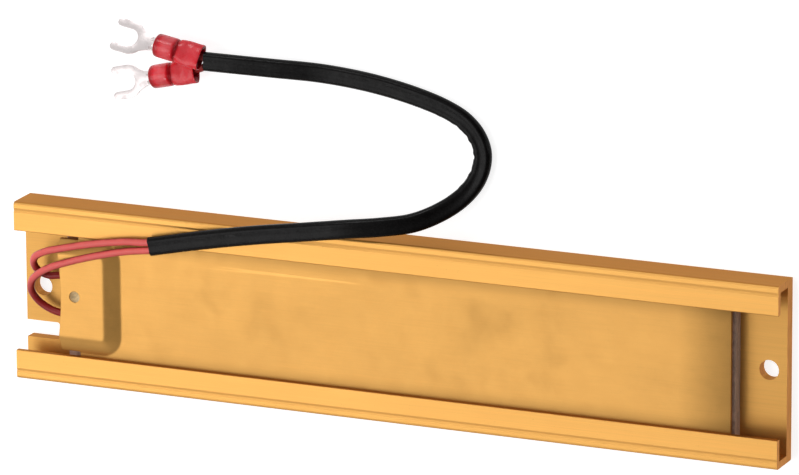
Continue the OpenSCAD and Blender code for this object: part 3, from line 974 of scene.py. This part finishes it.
CIRCUITS = (
    Circuit(
        Side.A,
        (-93.5, 4.6, 6.49),
        (
            (-98, 4.5, 6.49), (-102, 4.1, 6.49), (-104.4, 5.3, 7.2), (-105.2, 7.5, 8.5),
            (-104.1, 9.9, 9.9), (-100.3, 12.1, 11.1), (-95.7, 13.5, 11.6), (-86, 15.8, 11.6),
            (-76, 17.5, 11.8),
        ),
        ((-56.4, 65.5, 4.35),),
        (-58.2, 64.7, 3.8), 194, 2, 14,
    ),
    Circuit(
        Side.B,
        (-93.5, -6.2, 6.49),
        (
            (-98.3, -6.1, 6.49), (-101.8, -5.2, 6.49), (-104.9, -3.2, 6.8), (-106.4, -0.3, 7.8),
            (-105.6, 2.8, 9.2), (-103, 5.4, 10.5), (-99.2, 7.7, 11.4), (-95, 9.4, 11.6),
            (-86, 12.3, 11.6), (-76, 14.8, 11.8),
        ),
        (),
        (-55.4, 68.9, 6.35), 170, 1, 28,
    ),
)


# The rings of an insulating sleeve's profile that lie on its outside
FIRST_OUTER_RING, LAST_OUTER_RING = 4, 22


def metres(points: Iterable[Point]) -> list[Vector]:
    """Points in millimetres as vectors in metres."""
    return [Vector(p) * MM for p in points]


@dataclass
class Terminal:
    """A fork terminal and its insulating sleeve, along their own axis from the wire end."""

    finishes: Finishes
    circuit: Circuit
    length: float = 13.2 * MM
    crimped: float = 7.2 * MM
    crimp_half_w: float = 3.5 * MM
    crimp_half_h: float = 1.85 * MM
    round_r: float = 3.2 * MM
    bore_r: float = 1.86 * MM
    mouth_r: float = 1.45 * MM
    barrel_r: float = 1.8 * MM
    barrel_wall: float = 0.55 * MM
    fork_t: float = 0.8 * MM
    fork_w: float = 9.0 * MM
    slot_w: float = 4.7 * MM
    fork_len: float = 13.4 * MM
    slot_len: float = 7.0 * MM
    sides: int = 48

    def __post_init__(self) -> None:
        """Works out where the terminal lies."""
        place = Matrix.Translation(Vector(self.circuit.wire_end) * MM)
        turn = Matrix.Rotation(math.radians(self.circuit.turn), 4, "Z")
        tilt = Matrix.Rotation(math.radians(self.circuit.tilt), 4, "Y")
        roll = Matrix.Rotation(math.radians(self.circuit.roll), 4, "X")
        self.pose = place @ turn @ tilt @ roll

    def on_axis(self, x: float) -> Vector:
        """A point of the terminal's axis at x from its wire end."""
        return self.pose @ Vector((x, 0, 0))

    def ring(self, x: float, half_w: float, half_h: float, power: float) -> list[Vector]:
        """A rounded ring across the axis, squarer with a higher power."""
        ring = []
        for k in range(self.sides):
            t = 2 * math.pi * k / self.sides
            c, s = math.cos(t), math.sin(t)
            y = half_w * math.copysign(abs(c) ** (2 / power), c)
            z = half_h * math.copysign(abs(s) ** (2 / power), s)
            ring.append(self.pose @ Vector((x, y, z)))
        return ring

    def insulator(self) -> Piece:
        """Makes the insulating sleeve: funnel, crimp, ring and round nose."""
        w, h, r, end = self.crimp_half_w, self.crimp_half_h, self.round_r, self.length
        neck = self.crimped
        profile: list[tuple[float, float, float, float]] = [
            (3.0 * MM, self.mouth_r * 0.95, self.mouth_r * 0.9, 2.0),
            (1.2 * MM, self.mouth_r * 1.1, self.mouth_r, 2.0),
            (0.25 * MM, w - 0.75 * MM, h - 0.42 * MM, 2.3),
            (0.04 * MM, w - 0.38 * MM, h - 0.2 * MM, 2.4),
            (0.0, w - 0.2 * MM, h - 0.1 * MM, 2.4),
            (0.08 * MM, w - 0.04 * MM, h - 0.02 * MM, 2.5),
            (0.5 * MM, w, h, 2.5),
            (1.6 * MM, w * 0.985, h * 0.97, 2.5),
            (2.5 * MM, w * 0.995, h * 0.86, 2.8),
            (3.6 * MM, w, h * 0.80, 3.0),
            (4.6 * MM, w * 0.995, h * 0.86, 2.8),
            (5.5 * MM, w * 0.97, h * 0.99, 2.5),
            (neck - 0.7 * MM, w * 0.94, h * 1.0, 2.3),
            (neck - 0.3 * MM, r * 0.95, h * 1.0, 2.15),
            (neck - 0.05 * MM, r * 0.93, h * 1.12, 2.0),
            (neck + 0.12 * MM, r * 0.955, r * 0.9, 2.0),
            (neck + 0.4 * MM, r * 0.985, r * 0.98, 2.0),
            (neck + 0.9 * MM, r, r, 2.0),
            (neck + 2.4 * MM, r, r, 2.0),
            (neck + 3.9 * MM, r, r, 2.0),
            (end - 0.7 * MM, r * 0.995, r * 0.995, 2.0),
            (end - 0.2 * MM, r * 0.975, r * 0.975, 2.0),
            (end - 0.04 * MM, r * 0.93, r * 0.93, 2.0),
            (end, r * 0.88, r * 0.88, 2.0),
            (end - 0.03 * MM, self.bore_r * 1.12, self.bore_r * 1.12, 2.0),
            (end - 0.3 * MM, self.bore_r, self.bore_r, 2.0),
            (end - 3.0 * MM, self.bore_r, self.bore_r, 2.0),
        ]
        rings = [self.ring(*row) for row in profile]
        name = f"insulating_sleeve_{self.circuit.side.letter}"
        piece = add_piece(name, *loft(rings, False, False), self.finishes.of(Look.VINYL), 50.0)
        # painted shade and painted glow for each ring of the insulator
        shades = [self.shade_at(i, row[0]) for i, row in enumerate(profile) for _ in rings[0]]
        piece.data.attributes.new(Look.VINYL.value.shade, "FLOAT", "POINT").data.foreach_set("value", shades)
        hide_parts(f"fork_insulator_{self.circuit.side.letter}")
        return piece

    def shade_at(self, ring: int, x: float) -> float:
        """Painted shade and glow of the vinyl: 1 inside, as painted shade, and below 0, as painted glow,
        where the barrel would shine through.
        """
        if not FIRST_OUTER_RING <= ring <= LAST_OUTER_RING:
            return 1.0

        def near(place: float, reach: float) -> float:
            """1 at a place on the axis, and 0 beyond its reach."""
            return max(0.0, 1 - abs(x - place) / reach)

        # painted shade at the nose end and at the neck, painted glow along the nose and the crimp
        deep = max(near(self.length - 0.4 * MM, 1.6 * MM), 0.7 * near(self.crimped - 0.1 * MM, 0.7 * MM))
        clear = max(0.8 * near(self.crimped + 2.4 * MM, 2.4 * MM), 0.35 * near(self.crimped / 2, 2.6 * MM))
        return deep - clear

    def outline(self) -> list[tuple[float, float]]:
        """Half of the fork's outline, from the barrel round a tine to the slot's bottom."""
        tip = self.length + self.fork_len
        hub = tip - self.slot_len + self.slot_w / 2
        tine = (self.fork_w - self.slot_w) / 2
        root = self.length - 1.0 * MM
        neck_x, neck_y = self.length + 1.2 * MM, self.barrel_r * 0.9
        half: list[tuple[float, float]] = [(root, self.barrel_r * 0.92), (neck_x, neck_y)]
        for k in range(1, 4):
            t = k / 4
            x = self.length + 1.2 * MM + (hub - 3.2 * MM - self.length - 1.2 * MM) * t
            half.append((x, neck_y + (self.fork_w * 0.34 - neck_y) * t**1.6))
        for k in range(9):
            t = math.radians(138 - k * 6)
            half.append((hub + self.fork_w / 2 * math.cos(t), self.fork_w / 2 * math.sin(t)))
        end_x, end_y, end_r = tip - tine / 2, (self.fork_w - tine) / 2, tine / 2
        half.append((end_x, self.fork_w / 2))
        for k in range(1, 12):
            t = math.radians(90 - k * 15)
            half.append((end_x + end_r * math.cos(t), end_y + end_r * math.sin(t)))
        half.append((end_x, self.slot_w / 2))
        for k in range(13):
            t = math.radians(90 + k * 7.5)
            half.append((hub + self.slot_w / 2 * math.cos(t), self.slot_w / 2 * math.sin(t)))
        return half

    def fork(self) -> Piece:
        """Makes the fork: a stamped tongue, its gutter-shaped neck and the rolled barrel."""
        half = self.outline()
        outline = half[:-1] + [(x, -y) for x, y in reversed(half)]
        work = bmesh.new()
        base = [work.verts.new(self.pose @ Vector((x, y, -self.barrel_r))) for x, y in outline]
        face = work.faces.new(base)
        grown = bmesh.ops.extrude_face_region(work, geom=[face])
        lift = (self.pose.to_3x3() @ Vector((0, 0, 1))) * self.fork_t
        for item in grown["geom"]:
            if isinstance(item, bmesh.types.BMVert):
                item.co += lift
        bmesh.ops.triangulate(work, faces=[f for f in work.faces if len(f.verts) > 4])
        mesh = bpy.data.meshes.new("tongue")
        work.to_mesh(mesh)
        work.free()
        tongue_points = [v.co.copy() for v in mesh.vertices]
        tongue_faces = [tuple(p.vertices) for p in mesh.polygons]
        neck_points, neck_faces = self.barrel()
        shift = len(tongue_points)
        faces = tongue_faces + [tuple(i + shift for i in f) for f in neck_faces]
        name = f"fork_{self.circuit.side.letter}"
        piece = add_piece(name, tongue_points + neck_points, faces, self.finishes.of(Look.TIN), 35.0)
        bpy.data.meshes.remove(mesh)
        round_edges(piece, 0.16 * MM, 50.0, 3)
        bake_modifiers(piece, 40.0)
        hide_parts(f"fork_terminal_{self.circuit.side.letter}")
        return piece

    def barrel(self) -> tuple[list[Vector], Faces]:
        """The rolled barrel, whose end opens into a gutter that runs into the tongue."""
        outer, inner = self.barrel_r, self.barrel_r - self.barrel_wall
        stations = [
            (self.length - 4.5 * MM, 175.0),
            (self.length + 0.3 * MM, 172.0),
            (self.length + 0.9 * MM, 150.0),
            (self.length + 1.5 * MM, 110.0),
            (self.length + 2.1 * MM, 75.0),
            (self.length + 2.8 * MM, 42.0),
        ]
        rings = []
        for x, spread in stations:
            angles = [math.radians(-90 - spread + 2 * spread * k / 20) for k in range(21)]
            turns = [(outer, t) for t in angles] + [(inner, t) for t in reversed(angles)]
            rings.append([self.pose @ Vector((x, r * math.cos(t), r * math.sin(t))) for r, t in turns])
        return loft(rings)

    def build(self) -> list[Piece]:
        """Makes both pieces and reports them."""
        pieces = [self.insulator(), self.fork()]
        for piece in pieces:
            LOG.info("%s: %d faces", piece.name, len(piece.data.polygons))
        return pieces


@dataclass
class Lead:
    """One silicone lead, from its splice to its terminal."""

    finishes: Finishes
    circuit: Circuit
    terminal: Terminal
    radius: float = 1.0 * MM
    spacing: float = 1.05 * MM
    sides: int = 20
    step: float = 0.9 * MM
    entry: float = 1.4 * MM
    strip: float = 5.2 * MM
    exit_x: float = -95.6 * MM

    def route(self) -> list[Vector]:
        """The lead's smooth line."""
        c = self.circuit
        points = metres((c.start, *c.bare))
        points += beside(metres(SLEEVE_ROUTE), self.spacing * c.side.value)
        points += metres(c.tail)
        points += [self.terminal.on_axis(self.entry), self.terminal.on_axis(self.strip)]
        return smooth_route(points, self.step)

    def build(self, fittings: list[Piece]) -> Piece:
        """Args:
            fittings: The pieces on its far end. Not used.

        Returns:
            The lead.
        """
        route = self.route()
        section = circle(self.radius, self.sides)
        name = f"silicone_lead_{self.circuit.side.letter}"
        piece = add_piece(name, *loft(sweep(route, lambda _: section)), self.finishes.of(Look.LEAD), 60.0)
        long = length_of(route)
        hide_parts(f"lead_{self.circuit.side.letter}")
        LOG.info("%s: %.1f mm long", name, long / MM)
        return piece


@dataclass
class Sleeve:
    """The black sleeve, pressed flat over the two leads and creased inside its bend."""

    finishes: Finishes
    half_w: float = 2.6 * MM
    half_h: float = 1.55 * MM
    wall: float = 0.4 * MM
    sides: int = 40
    step: float = 0.5 * MM
    waist: float = 0.34 * MM
    crease: float = 0.34 * MM
    crease_pitch: float = 4.1 * MM
    crease_reach: float = 13.0 * MM
    bend_at: float = 106.0 * MM
    pulled: float = 1.1 * MM

    def section(self, along: float) -> list[tuple[float, float]]:
        """The ring at a distance along the sleeve: two lobes, a waist, and creases at the bend."""
        shift = self.half_w - self.half_h
        bend = math.exp(-(((along - self.bend_at) / self.crease_reach) ** 2))
        phase = 2 * math.pi * along / self.crease_pitch
        ripple = 0.5 + 0.3 * math.sin(phase) + 0.2 * math.sin(1.7 * phase + 1)
        soft = 0.05 * MM * math.sin(along / (7.3 * MM)) + 0.03 * MM * math.sin(along / (2.9 * MM) + 1)
        ring = []
        for k in range(self.sides):
            t = 2 * math.pi * k / self.sides
            c, s = math.cos(t), math.sin(t)
            a = math.copysign(shift * min(1.0, abs(c) * 3), c) + self.half_h * c
            b = (self.half_h - 0.06 * MM + soft) * s
            b -= math.copysign(self.waist * math.exp(-((a / (0.9 * MM)) ** 2)), s) * abs(s)
            inner = max(0.0, a / self.half_w)
            a -= self.crease * bend * ripple * inner
            b *= 1 + 0.10 * bend * (1 - ripple) * inner
            ring.append((a, b))
        return ring

    def build(self) -> Piece:
        """Returns:
            The sleeve.
        """
        stops = metres(SLEEVE_ROUTE)
        stops.append(stops[-1] + (stops[-1] - stops[-2]).normalized() * self.pulled)
        route = smooth_route(stops, self.step)
        rings = sweep(route, self.section)
        squeeze = 1 - self.wall / self.half_h
        mouth = 5

        def inside(i: int) -> list[Vector]:
            """The inner ring at a station."""
            return [route[i] + (p - route[i]) * squeeze for p in rings[i]]

        first = [inside(i) for i in range(mouth, -1, -1)]
        last = [inside(i) for i in range(len(route) - 1, len(route) - 2 - mouth, -1)]
        points, faces = loft(first + rings + last, False, False)
        piece = add_piece("black_sleeve", points, faces, self.finishes.of(Look.SLEEVE), 60.0)
        long = length_of(route)
        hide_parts("lead_sleeve")
        LOG.info("black sleeve: %.1f mm long", long / MM)
        return piece


# ---------------- studio


@dataclass(frozen=True)
class Lamp:
    """A soft square lamp: the way to it, its distance, side in metres and power in watts."""

    name: str
    towards: Point
    away: float
    width: float
    power: float

    def build(self) -> None:
        """Makes the lamp, which looks at the part."""
        data = bpy.data.lights.new(self.name, "AREA")
        data.shape = "SQUARE"
        data.size = self.width
        data.energy = self.power
        lamp = bpy.data.objects.new(self.name, data)
        direction = Vector(self.towards).normalized()
        lamp.location = direction * self.away
        lamp.rotation_mode = "QUATERNION"
        lamp.rotation_quaternion = direction.to_track_quat("Z", "Y")
        bpy.context.scene.collection.objects.link(lamp)


LAMPS = (
    Lamp("key", (-0.50, -0.06, 0.86), 1.15, 0.65, 3.05),
    Lamp("side", (-0.30, 0.85, 0.44), 1.4, 0.35, 2.4),
    Lamp("fill", (0.93, 0.15, 0.30), 1.4, 0.3, 1.1),
    Lamp("glint", (-0.35, -0.5, 0.8), 1.2, 0.12, 0.6),
)


@dataclass
class Studio:
    """Camera, lamps, world and floor."""

    lens: float = 318.94
    sensor: float = 36.0
    place: Point = (0.72656, 0.52020, 1.65397)
    right: Point = (0.915935, -0.005487, -0.401290)
    up: Point = (-0.101503, 0.964230, -0.244861)
    back: Point = (0.388279, 0.265009, 0.882615)
    floor_half: float = 3.0
    floor_drop: float = 0.0002
    sky_far: float = 0.09
    sky_near: float = 0.66
    floor_plain: Colour = (0.62, 0.62, 0.62)
    floor_pale: Colour = (0.5, 0.5, 0.5)
    floor_glow: float = 0.83

    def camera(self) -> None:
        """Makes the camera and sets it."""
        data = bpy.data.cameras.new("camera")
        data.sensor_width = self.sensor
        data.lens = self.lens
        data.clip_start, data.clip_end = 0.05, 50.0
        camera = bpy.data.objects.new("camera", data)
        turn = Matrix((self.right, self.up, self.back)).transposed()
        camera.matrix_world = Matrix.Translation(self.place) @ turn.to_4x4()
        bpy.context.scene.collection.objects.link(camera)
        bpy.context.scene.camera = camera

    def world(self) -> None:
        """A world that is white where it is seen and lights softly from the lead end."""
        world = bpy.data.worlds.new("studio")
        bpy.context.scene.world = world
        world.use_nodes = True
        world.node_tree.nodes.clear()
        graph = Graph.over(world.node_tree)
        out = graph.node("ShaderNodeOutputWorld")
        where = graph.node("ShaderNodeTexCoord").outputs["Generated"]
        settings = {"interpolation_type": "SMOOTHSTEP"}
        sockets = {"Value": graph.axes(where)[0], "From Min": 0.3, "From Max": -0.3}
        sockets |= {"To Min": self.sky_far, "To Max": self.sky_near}
        fade = graph.node("ShaderNodeMapRange", settings, sockets).outputs["Result"]
        light = graph.node("ShaderNodeBackground", None, {"Color": WHITE, "Strength": fade})
        seen = graph.node("ShaderNodeBackground", None, {"Color": WHITE})
        shown = graph.node("ShaderNodeLightPath").outputs["Is Camera Ray"]
        mixed = {0: shown, 1: light.outputs[0], 2: seen.outputs[0]}
        mix = graph.node("ShaderNodeMixShader", None, mixed)
        graph.feed(out.inputs[0], mix.outputs[0])

    def floor(self) -> None:
        """A pale floor that the camera, metal and glass see as white, under a soft shadow."""
        mesh = bpy.data.meshes.new("floor")
        h = self.floor_half
        mesh.from_pydata([(-h, -h, 0), (h, -h, 0), (h, h, 0), (-h, h, 0)], [], [(0, 1, 2, 3)])
        floor = bpy.data.objects.new("floor", mesh)
        floor.location.z = -self.floor_drop
        bpy.context.scene.collection.objects.link(floor)
        graph = Graph("studio_floor")
        rays = graph.node("ShaderNodeLightPath")
        shown = Value(graph, rays.outputs["Is Camera Ray"])
        shown = shown.most(Value(graph, rays.outputs["Is Glossy Ray"]))
        shown = shown.most(Value(graph, rays.outputs["Is Transmission Ray"]))
        plain = graph.node("ShaderNodeBsdfDiffuse", None, {"Color": self.floor_plain})
        pale = graph.node("ShaderNodeBsdfDiffuse", None, {"Color": self.floor_pale})
        glow = graph.node("ShaderNodeEmission", None, {"Color": WHITE, "Strength": self.floor_glow})
        white = graph.node("ShaderNodeAddShader", None, {0: pale.outputs[0], 1: glow.outputs[0]})
        sockets = {0: shown, 1: plain.outputs[0], 2: white.outputs[0]}
        mixed = graph.node("ShaderNodeMixShader", None, sockets)
        graph.feed(graph.out.inputs["Surface"], mixed.outputs[0])
        graph.tree.nodes.remove(graph.shader)
        mesh.materials.append(graph.material)

    def build(self) -> None:
        """Makes the whole studio."""
        self.camera()
        self.world()
        self.floor()
        for lamp in LAMPS:
            lamp.build()
        bpy.context.scene.view_settings.view_transform = "Standard"
        LOG.info("studio set")


def main() -> None:
    """Builds every piece in order."""
    logging.basicConfig(level=logging.INFO, format="%(name)s: %(message)s")
    finishes = Finishes()
    Studio().build()
    for circuit in CIRCUITS:
        terminal = Terminal(finishes, circuit)
        Lead(finishes, circuit, terminal).build(terminal.build())
    Sleeve(finishes).build()
    plate = CoverPlate(finishes)
    plate.build()
    CementDish(finishes, plate).build()
    DressedSolids(finishes).build()


if __name__ == "__main__":
    main()
